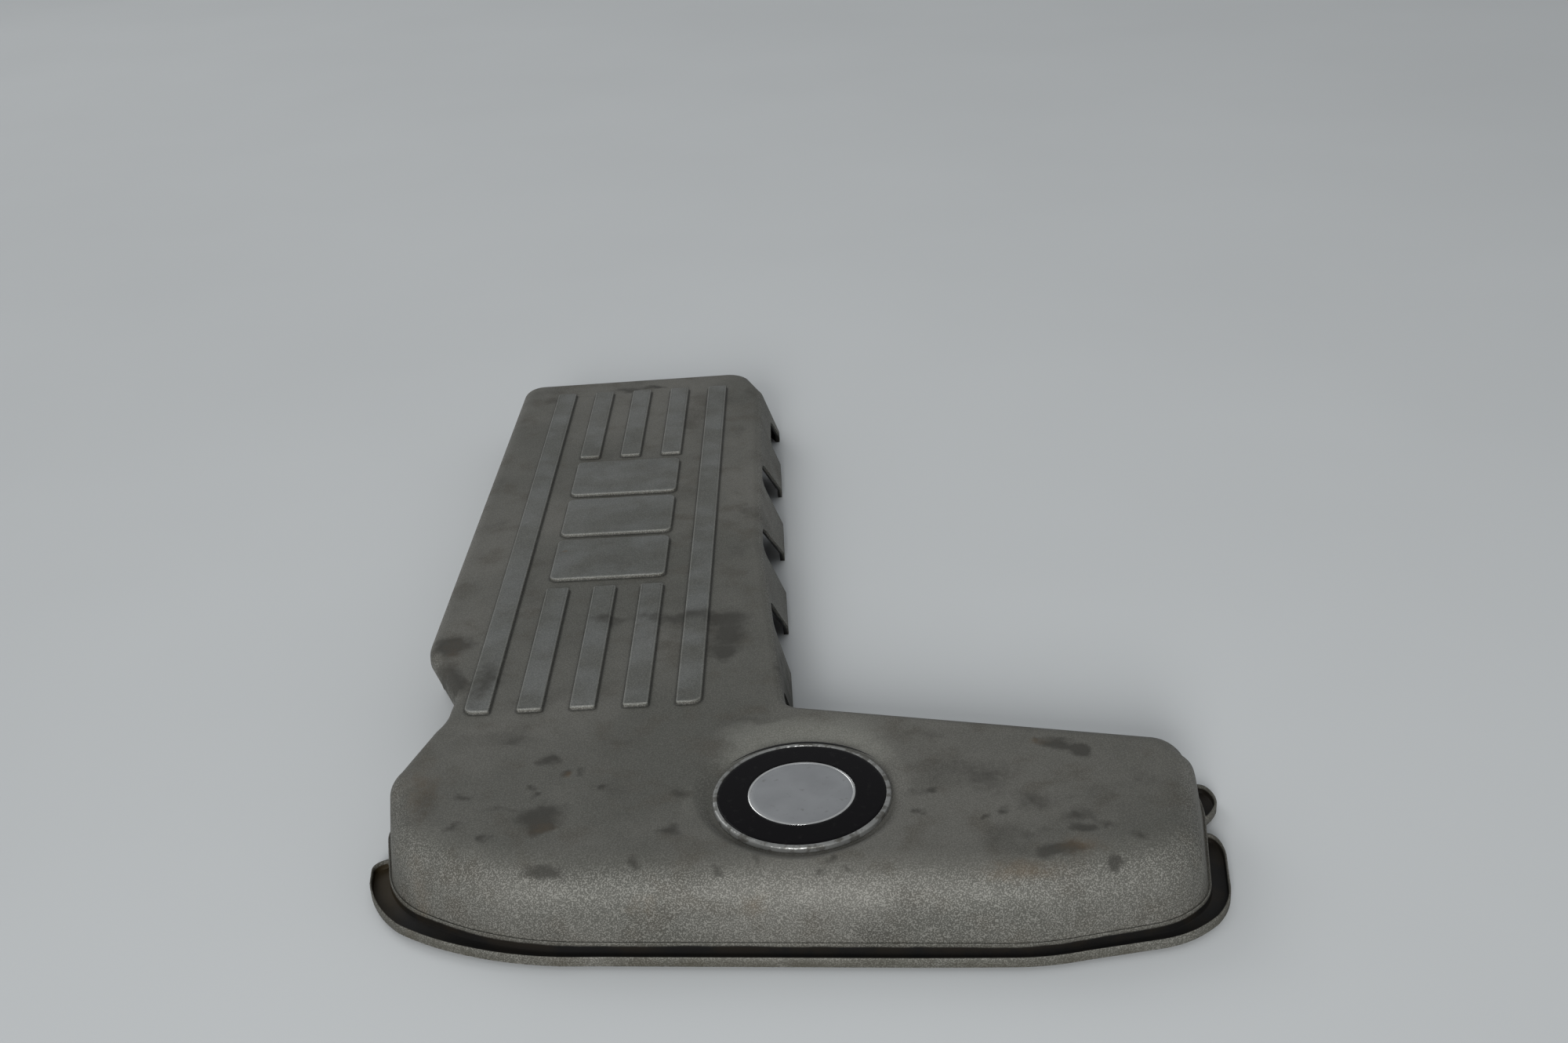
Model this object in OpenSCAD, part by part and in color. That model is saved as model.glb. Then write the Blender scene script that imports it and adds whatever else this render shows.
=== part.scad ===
// Moulded cover for an in-line engine: a long ribbed arm over the cylinder head and a wide
// domed front section with a round badge. Sizes are in millimetres.
// X runs across, Y from the front section to the far end of the arm, Z up.
// Sizes across and along are measured from the centre of the badge.

/* [Body height and wall] */
// Height of the flat top above the bottom edge
top_z = 42; // [38:0.5:60]
// Wall thickness of the moulding
wall = 2.8; // [2.2:0.1:3.4]
// Height of the plinth under the dome
plinth_h = 8.4; // [7:0.1:11]

/* [Front section outline] */
// Badge centre to the left shoulder
front_left = 202.5; // [196:0.5:212]
// Badge centre to the right side
front_right = 188; // [182:0.5:196]
// Badge centre to the front edge on the left
front_near_left = 54; // [51:0.5:62]
// Badge centre to the front edge on the right
front_near_right = 72; // [67:0.5:80]
// Badge centre to the rear edge beside the arm
front_rear = 80; // [74:0.5:88]
// Badge centre to the rear edge at the right side
front_rear_right = 46; // [42:0.5:52]
// Edge roll of the dome
dome_roll = 20; // [16:0.5:24]
// Width of the ledge at the foot of the dome
dome_lip = 1.6; // [1:0.1:2.2]

/* [Arm outline] */
// Badge centre to the far edge
arm_far = 536; // [510:1:560]
// How much shorter the arm is on its left
far_skew = 7.5; // [4:0.5:12]
// Badge centre to the left side of the arm
arm_left = 199; // [192:0.5:206]
// How far the left side of the arm spreads towards the waist
arm_flare = 2; // [0:0.5:4]
// Badge centre to the right side of the arm at the front section
arm_right = 4; // [2:0.5:8]
// Badge centre to the right side of the arm at its far end
arm_right_far = 15; // [10:0.5:20]
// Lean of the right skirt in the middle of the arm
skirt_lean = 11; // [7:0.5:14]
// Edge roll of the arm
arm_roll = 8; // [5:0.5:9]
// Where the left side turns in to the waist
waist_start = 149; // [140:1:158]
// Deepest point of the waist
waist_mid = 100; // [92:1:104]
// Depth of the waist
waist_in = 21; // [15:0.5:26]
// Height of the cut in the skirt at the waist
waist_cut_h = 33.5; // [26:0.5:34]
// Length of that cut at its top
waist_cut_l = 66; // [54:1:70]

/* [Raised bars] */
// Number of bars
bar_n = 5; // [4:1:5]
// Width of a bar
bar_w = 12.7; // [9:0.1:16]
// Distance from bar to bar
bar_pitch = 26.6; // [22:0.1:27]
// Badge centre to the left edge of the first bar
bar_x = 168.4; // [164:0.1:172]
// Near end of the bars
bar_near = 80.5; // [76:0.5:100]
// Far end of the bars
bar_far = 498.5; // [480:0.5:500]
// Where the near part of the inner bars ends
bar_break_near = 207; // [190:1:212]
// Where the far part of the inner bars begins
bar_break_far = 387; // [385:1:400]
// Height of the bars above the top
bar_h = 2.2; // [1.2:0.1:3]
// Corner radius on the outer corners of the bars
bar_round = 5; // [3:0.5:6]

/* [Plain blocks between the bars] */
// Number of blocks
block_n = 3; // [2:1:5]
// Near end of the first block
block_near = 218; // [214:1:224]
// Far end of the last block
block_far = 378; // [370:1:382]
// Gap between two blocks
block_gap = 7; // [5:0.5:12]
// Corner radius of a block
block_round = 4; // [2:0.5:6]

/* [Skirt notches] */
// Near edge of the first full notch
notch_near = 161; // [156:0.5:168]
// Distance from notch to notch, one for each cylinder
notch_pitch = 92; // [86:0.5:92]
// Width of a notch at the bottom edge
notch_w = 57; // [48:0.5:62]
// Width of a notch at its top
notch_top_w = 30; // [24:0.5:36]
// Height of the full notches
notch_h = 38; // [30:0.5:39]
// Height of the last notch at the far corner
notch_h_far = 24; // [18:0.5:30]
// Corner radius at the top of a notch
notch_round = 7; // [4:0.5:9]

/* [Gutter and side pocket] */
// Height of the gutter
gutter_h = 6.3; // [5:0.1:8]
// Gap between the underside of the gutter and the ground
gutter_lift = 2; // [0.5:0.1:3]
// Inside width of the gutter
gutter_w = 6.6; // [5:0.1:9]
// Thickness of the gutter wall
gutter_wall = 1.8; // [1.4:0.1:2.4]
// Thickness of the gutter floor
gutter_floor = 1.6; // [1.2:0.1:3]
// Where the gutter ends on the left side
gutter_end_left = 8; // [2:0.5:14]
// Where the gutter ends on the right side
gutter_end_right = 2; // [-4:0.5:6]
// Radius of the side pocket
pocket_r = 14.5; // [12:0.5:16]
// Place of the pocket along the right side
pocket_y = 28.5; // [26:0.5:30]

/* [Badge] */
// Diameter of the badge
badge_d = 82; // [74:0.5:84]
// Thickness of the badge at its rim
badge_t = 3.8; // [3.2:0.1:5]
// Width of the badge rim
badge_rim = 2.4; // [1.6:0.1:3.5]
// Diameter of the centre of the badge
badge_centre_d = 49.2; // [44:0.2:56]
// Depth of the recess that holds the badge
recess_d = 3.4; // [2.4:0.1:4]
// Mean width of the slope round the recess
recess_slope = 11; // [7:0.5:13]
// How far that slope is shifted towards the rear
recess_shift = 6; // [0:0.5:6.5]
// Gap between the badge and the foot of the recess
badge_gap = 0.5; // [0.2:0.1:1]
// Diameter of a badge pin
pin_d = 4; // [3:0.1:5]
// Length of a badge pin
pin_l = 7; // [6:0.1:8]
// Distance between the two badge pins
pin_span = 50; // [40:1:60]
// Gap round a badge pin
pin_gap = 0.1; // [0.05:0.05:0.3]
// Gap round the face of the badge
face_gap = 0.1; // [0.05:0.05:0.3]

/* [Fixing points] */
// Diameter of the ball stud that a grommet takes
stud_d = 10; // [8:0.1:11]
// Depth of the bore in a grommet
stud_depth = 11; // [8:0.5:12]
// Outer diameter of a grommet
grommet_d = 21; // [18:0.5:23]
// Length of a grommet in its cup
grommet_l = 14; // [13:0.5:16]
// Flange of a grommet beyond its cup bore
grommet_flange = 2; // [1.5:0.1:2.5]
// Thickness of the grommet flange
flange_t = 1.5; // [1:0.1:2.5]
// Wall of a cup and its neck
cup_wall = 2.5; // [2:0.1:3]
// Radius of the hole through the shelf of a cup
neck_r = 7; // [5:0.5:8]
// Height of the mouth of a cup above the bottom edge
cup_z = 12; // [10:0.5:14]

/* [Foam mats] */
// Thickness of the foam
foam_t = 8; // [5:0.5:10]
// Distance from the outline to the edge of the foam
foam_edge = 36; // [32:1:44]
// Gap round each cup neck
foam_gap = 2; // [1:0.5:4]
// Corner radius of a mat
foam_round = 8; // [4:0.5:14]
// Larger corner radius where a mat runs into a wide bend of the wall
foam_bend = 24; // [18:0.5:30]
// Distance from the rear edges to the mats
foam_rear = 14; // [10:0.5:20]

/* [Hidden] */
$fn = 64;
corner_step = 10;        // most degrees of turn between two points of a corner
roll_steps = 5;
bite = 0.6;              // how far joined shapes reach into each other
far_over = 2;            // how far a cutter passes the face that it cuts

// Corners of the outline at the bottom edge, anticlockwise from the left shoulder:
// x, y, corner radius, ledge, lean of the wall, roll of the top edge
arm_lip = 0.3;
corners = [
    // Front section: left side, front edge, right side
    [-front_left, 34, 24, dome_lip, 3, 12],
    [-front_left + 12.2, -21, 50, dome_lip, 1.5, dome_roll],
    [-front_left + 66, -front_near_left, 70, dome_lip, 0.6, dome_roll],
    [front_right - 88, -front_near_right, 110, dome_lip, 0.6, dome_roll],
    [front_right - 28, -front_near_right + 14, 38, dome_lip, 1, dome_roll],
    [front_right - 9.5, -45, 28, dome_lip, 2, dome_roll],
    [front_right, 15, 60, dome_lip, 3.5, 16],
    [front_right + 0.5, front_rear_right, 26, dome_lip, 6, 16],
    // Arm: inner corner, notched skirt, far end, left side, waist
    [-arm_right, front_rear, 6, arm_lip, 3.5, 5],
    [-(arm_right + arm_right_far) / 2, 270, 4000, arm_lip, skirt_lean, 6],
    [-arm_right_far + 1, arm_far - 39, 24, arm_lip, skirt_lean - 2, arm_roll],
    [-arm_right_far - 21, arm_far, 24, arm_lip, 5, arm_roll],
    [-arm_left, arm_far - far_skew, 18, arm_lip, 3, arm_roll],
    [-arm_left - arm_flare, waist_start, 36, arm_lip, 1.5, 6],
    [-arm_left + waist_in, waist_mid, 8, arm_lip, 1.5, 5],
    [-arm_left + waist_in - 2.5, waist_mid - 22, 40, arm_lip, 2, 6]];
last_front = 6;          // the last corner that the gutter follows

function unit(v) = v / norm(v);

// Points along one rounded corner, each with its outward normal and the corner's values
function corner_arc(before, at, after, c) =
    let(a = unit(before - at), b = unit(after - at), half = acos(a * b) / 2, r = c[2],
        mid = at + unit(a + b) * r / sin(half),
        from = at + a * r / tan(half) - mid, to = at + b * r / tan(half) - mid,
        start = atan2(from[1], from[0]), end = atan2(to[1], to[0]),
        turn = (end - start + 540) % 360 - 180, steps = ceil(abs(turn) / corner_step))
    [for (k = [0:steps]) let(t = start + turn * k / steps)
        [mid[0] + r * cos(t), mid[1] + r * sin(t), sign(turn) * cos(t), sign(turn) * sin(t),
            c[3], c[4], c[5]]];

function xy(c) = [c[0], c[1]];
function outline(first, last) =
    [for (i = [first:last])
        each corner_arc(xy(corners[(i + len(corners) - 1) % len(corners)]), xy(corners[i]),
            xy(corners[(i + 1) % len(corners)]), corners[i])];
rim = outline(0, len(corners) - 1);
front_rim = outline(0, last_front);

// The outline moved inward by d, or outward where d is negative
function inset(points, d) = [for (p = points) [p[0] - p[2] * d, p[1] - p[3] * d]];

// Section of the wall at one point of the outline, as inset and height from the bottom up;
// t is 0 for the outer skin and the wall thickness for the inner skin
function section(p, t) =
    let(lip = p[4], lean = p[5], roll = p[6])
    concat([[t, 0], [t, plinth_h - t], [t + lip, plinth_h - t]],
        [for (k = [0:roll_steps]) let(a = 90 * k / roll_steps)
            [lip + lean + roll - (roll - t) * cos(a), top_z - roll + (roll - t) * sin(a)]]);

function skin(t) =
    let(sections = [for (p = rim) section(p, t)])
    [for (k = [0:roll_steps + 3], i = [0:len(rim) - 1])
        [rim[i][0] - rim[i][2] * sections[i][k][0], rim[i][1] - rim[i][3] * sections[i][k][0],
            sections[i][k][1]]];

// Outer and inner skin joined along the bottom edge
module moulding() {
    n = len(rim);
    rows = roll_steps + 4;
    m = n * rows;
    sides = [for (k = [0:rows - 2], i = [0:n - 1]) let(j = (i + 1) % n)
        each [[k * n + i, k * n + n + i, k * n + n + j], [k * n + i, k * n + n + j, k * n + j]]];
    inner_sides = [for (f = sides) [m + f[0], m + f[2], m + f[1]]];
    foot = [for (i = [0:n - 1]) let(j = (i + 1) % n)
        each [[i, j, m + j], [i, m + j, m + i]]];
    top_face = [for (i = [n - 1:-1:0]) m - n + i];
    ceiling = [for (i = [0:n - 1]) 2 * m - n + i];
    polyhedron(concat(skin(0), skin(wall)), concat(sides, inner_sides, foot, [top_face, ceiling]),
        convexity = 8);
}

// Rectangle with its own radius at each corner, from the near left corner anticlockwise
function plate(x0, y0, x1, y1, r) =
    concat([for (k = [0:4]) let(a = 180 + 22.5 * k) [x0 + r[0] + r[0] * cos(a), y0 + r[0] + r[0] * sin(a)]],
        [for (k = [0:4]) let(a = 270 + 22.5 * k) [x1 - r[1] + r[1] * cos(a), y0 + r[1] + r[1] * sin(a)]],
        [for (k = [0:4]) let(a = 22.5 * k) [x1 - r[2] + r[2] * cos(a), y1 - r[2] + r[2] * sin(a)]],
        [for (k = [0:4]) let(a = 90 + 22.5 * k) [x0 + r[3] + r[3] * cos(a), y1 - r[3] + r[3] * sin(a)]]);

module raised(points) {
    translate([0, 0, top_z - bite]) linear_extrude(bar_h + bite) polygon(points);
}

// Raised bars: the outer two run through, the inner ones stop at the blocks
module bars() {
    small = 1;
    for (i = [0:bar_n - 1]) {
        x0 = -bar_x + i * bar_pitch;
        x1 = x0 + bar_w;
        if (i == 0) raised(plate(x0, bar_near, x1, bar_far, [bar_round, small, small, small]));
        else if (i == bar_n - 1)
            raised(plate(x0, bar_near, x1, bar_far, [small, bar_round, small, small]));
        else {
            raised(plate(x0, bar_near, x1, bar_break_near, [small, small, small, small]));
            raised(plate(x0, bar_break_far, x1, bar_far, [small, small, small, small]));
        }
    }
}

// Plain blocks across the width of the inner bars
module blocks() {
    x0 = -bar_x + bar_pitch;
    x1 = x0 + (bar_n - 3) * bar_pitch + bar_w;
    block_l = (block_far - block_near - (block_n - 1) * block_gap) / block_n;
    for (i = [0:block_n - 1]) {
        y0 = block_near + i * (block_l + block_gap);
        raised(plate(x0, y0, x1, y0 + block_l, [block_round, block_round, block_round, block_round]));
    }
}

// Side view of a cut in a skirt: upright near edge, rounded top, far edge that slants by slant
function cut_side(y0, w, slant, h) =
    concat([[y0, -far_over]],
        [for (k = [0:4]) let(a = 180 - 22.5 * k)
            [y0 + notch_round + notch_round * cos(a), h - notch_round + notch_round * sin(a)]],
        [[y0 + w - slant * h - 3, h], [y0 + w - slant * (h - 3), h - 3],
        [y0 + w + slant * far_over, -far_over]]);
module skirt_cut(x0, x1, points) {
    translate([x0, 0, 0]) rotate([90, 0, 90]) linear_extrude(x1 - x0) polygon(points);
}

// Notches in the right skirt, one beside each cylinder
skirt_reach = arm_right_far + skirt_lean + arm_roll;
module notch(y0, h) {
    skirt_cut(-skirt_reach, skirt_reach, cut_side(y0, notch_w, (notch_w - notch_top_w) / notch_h, h));
}
module notches() {
    for (i = [0:3]) notch(notch_near + i * notch_pitch, i == 3 ? notch_h_far : notch_h);
    // The first notch is cut short by the rear wall of the front section
    intersection() {
        notch(notch_near - notch_pitch, notch_h - 3);
        translate([-skirt_reach, front_rear + 12, -far_over])
            cube([2 * skirt_reach, notch_pitch, top_z]);
    }
}

// Long cut under the waist on the left, where the skirt stands clear of the wiring
waist_cut_slant = 0.54;
waist_cut_near = 8;
module waist_cut() {
    skirt_cut(-arm_left - 2 * arm_flare - wall, -arm_left + waist_in + 2 * wall,
        cut_side(waist_mid - waist_cut_near, waist_cut_l + waist_cut_slant * waist_cut_h, waist_cut_slant, waist_cut_h));
}

// Area in front of the two slanted ends of the gutter; e draws both ends in
end_left = [-front_left + 5, gutter_end_left + 4.5];
end_right = [front_right - 1.7, gutter_end_right - 0.5];
end_turn = 30;
end_turn_right = 56;
module gutter_reach(e) {
    far = 2 * front_left;
    intersection() {
        translate(end_left) rotate(end_turn) translate([-far, -far - e]) square([2 * far, far]);
        translate(end_right) rotate(-end_turn_right) translate([-far, -far - e]) square([2 * far, far]);
    }
}

module gutter_band(d_in, d_out) {
    polygon(concat(inset(front_rim, -d_out), [for (i = [len(front_rim) - 1:-1:0])
        inset([front_rim[i]], -d_in)[0]]));
}

// Gutter along the foot of the dome, closed at both ends
module gutter() {
    translate([0, 0, gutter_lift]) difference() {
        linear_extrude(gutter_h) intersection() {
            gutter_band(-bite, gutter_w + gutter_wall);
            gutter_reach(0);
        }
        translate([0, 0, gutter_floor]) linear_extrude(gutter_h) intersection() {
            gutter_band(-2 * bite, gutter_w);
            gutter_reach(gutter_wall);
        }
    }
}

// Small cup on the right side of the front section
pocket_x = front_right - 5.5;
module pocket() {
    difference() {
        translate([pocket_x, pocket_y, gutter_lift]) cylinder(r = pocket_r, h = gutter_h);
        translate([pocket_x, pocket_y, gutter_lift + gutter_floor])
            cylinder(r = pocket_r - gutter_wall, h = gutter_h);
        translate([0, 0, -far_over]) linear_extrude(top_z) polygon(inset(rim, wall / 2));
    }
}

// Recess for the badge: a dish that is wider behind, with a pad under it that keeps the wall thickness
recess_r = badge_d / 2 + badge_gap;
module dish(r, z, h) {
    lean_back = recess_shift / recess_d;
    translate([0, 0, z]) multmatrix([[1, 0, 0, 0], [0, 1, lean_back, 0], [0, 0, 1, 0], [0, 0, 0, 1]])
        cylinder(r1 = r, r2 = r + recess_slope * h / recess_d, h = h);
}
module badge_pad() {
    dish(recess_r + wall / 2, top_z - wall - recess_d, recess_d + bite);
}
module badge_recess() {
    dish(recess_r, top_z - recess_d, recess_d + far_over);
    for (s = [-1, 1]) translate([s * pin_span / 2, 0, top_z - recess_d - wall - far_over])
        cylinder(d = pin_d + 2 * pin_gap, h = wall + 2 * far_over, $fn = 32);
}

// Fixing points: x and y of the four cups, two in the arm and two in the front section
cup_at = [[-arm_left + 129, arm_far - 81], [-arm_left + 47, 250], [-front_left + 52.5, 8],
    [front_right - 50, -8]];
shelf_z = cup_z + grommet_l;
cup_r = grommet_d / 2 + cup_wall;

// Stepped cup under the top: a wide bore for the grommet and a narrower neck above its shelf
module cup(at) {
    translate([at[0], at[1], 0]) rotate_extrude()
        polygon([[grommet_d / 2, cup_z], [cup_r, cup_z], [cup_r, shelf_z + cup_wall],
            [neck_r + cup_wall, shelf_z + cup_wall], [neck_r + cup_wall, top_z - wall + bite],
            [neck_r, top_z - wall + bite], [neck_r, shelf_z], [grommet_d / 2, shelf_z]]);
}

// Three cornered stiffener between the left wall and the ceiling, set along X
gusset_l = 14;
gusset_h = 20;
gusset_t = 2.2;
gusset_corner = 3;
module gusset(x, y) {
    top = top_z - wall + bite;
    translate([x, y + gusset_t / 2, 0]) rotate([90, 0, 0]) linear_extrude(gusset_t)
        polygon([[0, top - gusset_corner], [gusset_corner, top], [gusset_l, top], [0, top - gusset_h]]);
}
module gussets() {
    near = waist_start + 35;
    far = arm_far - 40;
    for (i = [0:4]) let(y = near + i * (far - near) / 4)
        gusset(-arm_left - arm_flare * (arm_far - y) / (arm_far - waist_start) + wall + bite, y);
}

module cover_shell() {
    color("#6f6e69") difference() {
        union() {
            moulding();
            bars();
            blocks();
            gutter();
            pocket();
            badge_pad();
            for (at = cup_at) cup(at);
            gussets();
        }
        notches();
        waist_cut();
        badge_recess();
    }
}

seat_z = top_z - recess_d;
dish_t = 1.4;
// Metal carrier of the badge: a dish with a rounded rim and two pins
module badge_carrier() {
    r = badge_d / 2;
    bead = badge_rim / 2;
    color("silver") {
        translate([0, 0, seat_z]) rotate_extrude()
            polygon(concat([[0, 0], [r - 0.6, 0], [r, 0.6]],
                [for (k = [0:6]) let(a = 30 * k) [r - bead + bead * cos(a), badge_t - bead + bead * sin(a)]],
                [[r - badge_rim, dish_t], [0, dish_t]]));
        for (s = [-1, 1]) translate([s * pin_span / 2, 0, seat_z - pin_l])
            cylinder(d = pin_d, h = pin_l + bite, $fn = 32);
    }
}

// Slightly crowned face of the badge, with a shallow groove round its centre
face_r = badge_d / 2 - badge_rim - face_gap;
face_t = 1.9;
crown = 0.5;
centre_r = badge_centre_d / 2;
module badge_face() {
    groove = 0.6;
    color("#101012") translate([0, 0, seat_z + dish_t]) rotate_extrude()
        polygon(concat([[0, 0], [face_r, 0]],
            [for (k = [0:4]) let(x = face_r + (centre_r + groove - face_r) * k / 4)
                [x, face_t + crown * (1 - pow(x / face_r, 2))]],
            [[centre_r + groove / 2, face_t]],
            [for (k = [0:4]) let(x = centre_r * (1 - k / 4))
                [x, face_t + crown * (1 - pow(x / face_r, 2))]]));
}

// Rubber grommet with a flange under its cup and a blind bore for the ball stud
module grommet(i) {
    r = grommet_d / 2;
    color("#1b1b1b") translate([cup_at[i][0], cup_at[i][1], cup_z]) rotate_extrude()
        polygon([[stud_d / 2, -flange_t], [r + grommet_flange, -flange_t],
            [r + grommet_flange, 0], [r, 0], [r, grommet_l], [0, grommet_l],
            [0, stud_depth - flange_t], [stud_d / 2, stud_depth - flange_t]]);
}

// Foam under the ceiling, cut out round the necks of the cups
foam_top = top_z - wall;
module foam(points) {
    translate([0, 0, foam_top - foam_t]) difference() {
        linear_extrude(foam_t) polygon(points);
        for (at = cup_at) translate([at[0], at[1], -far_over])
            cylinder(r = neck_r + cup_wall + foam_gap, h = foam_t + 2 * far_over);
    }
}
foam_badge_x = recess_r + wall / 2 + recess_slope + foam_gap;
foam_side = 2 * wall + foam_gap;
foam_arm_x = -arm_right_far - skirt_lean - arm_roll;
module foam_arm() {
    color("#3a3a3c") foam(plate(-arm_left + waist_in + foam_side, front_rear + foam_rear,
        foam_arm_x - foam_gap, arm_far - foam_edge,
        [foam_round, foam_round, foam_bend, foam_round]));
}
module foam_left() {
    color("#3a3a3c") foam(plate(-front_left + foam_edge, -front_near_left + foam_edge,
        -foam_badge_x, front_rear - foam_rear, [foam_bend, foam_round, foam_round, foam_bend]));
}
module foam_right() {
    color("#3a3a3c") foam(plate(foam_badge_x, -front_near_right + foam_edge,
        front_right - foam_edge, front_rear_right - foam_edge + foam_round,
        [foam_round, foam_bend, foam_round, foam_round]));
}

// Where two lines meet, each given by a point and a direction
function cross2(a, b) = a[0] * b[1] - a[1] * b[0];
function meet(p, u, q, v) = p + u * cross2(q - p, v) / cross2(u, v);

// Moves the part so that its origin is the middle of its footprint
side = unit(xy(corners[1]) - xy(corners[0]));
gutter_tip = meet(xy(corners[0]) + [side[1], -side[0]] * (gutter_w + gutter_wall), side,
    end_left, [cos(end_turn), sin(end_turn)]);
box_right = pocket_x + pocket_r;
box_near = min([for (p = inset(front_rim, -gutter_w - gutter_wall)) p[1]]);
box_far = max([for (p = rim) p[1]]);
module place() {
    translate([-(gutter_tip[0] + box_right) / 2, -(box_near + box_far) / 2, 0]) children();
}

place() cover_shell();
place() badge_carrier();
place() badge_face();
place() grommet(0);  // grommet_1
place() grommet(1);  // grommet_2
place() grommet(2);  // grommet_3
place() grommet(3);  // grommet_4
place() foam_arm();
place() foam_left();
place() foam_right();
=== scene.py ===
import bmesh
import bpy
import numpy as np
from mathutils import Matrix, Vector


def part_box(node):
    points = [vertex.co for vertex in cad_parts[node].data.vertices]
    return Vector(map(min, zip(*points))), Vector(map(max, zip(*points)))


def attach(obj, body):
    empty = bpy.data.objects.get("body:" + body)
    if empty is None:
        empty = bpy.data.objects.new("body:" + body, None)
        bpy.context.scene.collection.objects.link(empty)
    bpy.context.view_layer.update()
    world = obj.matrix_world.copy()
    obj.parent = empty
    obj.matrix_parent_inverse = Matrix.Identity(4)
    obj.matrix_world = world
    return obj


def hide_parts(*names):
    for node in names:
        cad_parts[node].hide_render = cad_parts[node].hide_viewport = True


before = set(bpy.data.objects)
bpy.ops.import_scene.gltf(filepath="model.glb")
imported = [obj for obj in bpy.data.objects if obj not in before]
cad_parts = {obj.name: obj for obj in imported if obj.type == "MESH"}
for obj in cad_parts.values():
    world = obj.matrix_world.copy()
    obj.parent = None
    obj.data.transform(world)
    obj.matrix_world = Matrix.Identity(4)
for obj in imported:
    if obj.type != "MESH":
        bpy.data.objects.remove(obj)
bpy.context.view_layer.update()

# Camera: a lens of about 41 mm in front of the badge, well above the cover and rolled slightly
# clockwise. All sizes in this file are millimetres, measured from the badge's centre.
MM = 0.001
picture_width, lens_pixels, sensor_width = 2000.0, 2259.0, 36.0
camera_tilt, camera_yaw, camera_roll = 26.25, -1.75, 3.83
camera_place = [20.7, -668.8, 510.1]
badge_low, badge_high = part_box("badge_face")
badge_centre = np.array([(badge_low[0] + badge_high[0]) / 2, (badge_low[1] + badge_high[1]) / 2, 0.0])


def placed(points):
    """Millimetres from the badge centre to metres in the frame: scale, then add the badge's place."""
    return np.asarray(points, float) * MM + badge_centre


def aim(tilt, yaw, roll):
    """Rows right, up and back of a camera: look down by tilt, turn by yaw, then roll about the view axis."""
    tilt, yaw, roll = np.radians([tilt, yaw, roll])
    look = np.array([np.sin(yaw) * np.cos(tilt), np.cos(yaw) * np.cos(tilt), -np.sin(tilt)])
    side = np.array([np.cos(yaw), -np.sin(yaw), 0.0])
    down = np.cross(look, side)
    return np.array([np.cos(roll) * side + np.sin(roll) * down,
                     np.sin(roll) * side - np.cos(roll) * down, -look])


camera_data = bpy.data.cameras.new("camera")
camera_data.sensor_width = sensor_width
camera_data.lens = lens_pixels / picture_width * sensor_width
camera_data.clip_start = 10 * MM
camera = bpy.data.objects.new("camera", camera_data)
bpy.context.scene.collection.objects.link(camera)
camera_axes = aim(camera_tilt, camera_yaw, camera_roll)
camera_turn = Matrix([list(row) for row in camera_axes]).transposed().to_4x4()
camera.matrix_world = Matrix.Translation(placed(camera_place)) @ camera_turn
bpy.context.scene.camera = camera


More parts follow.
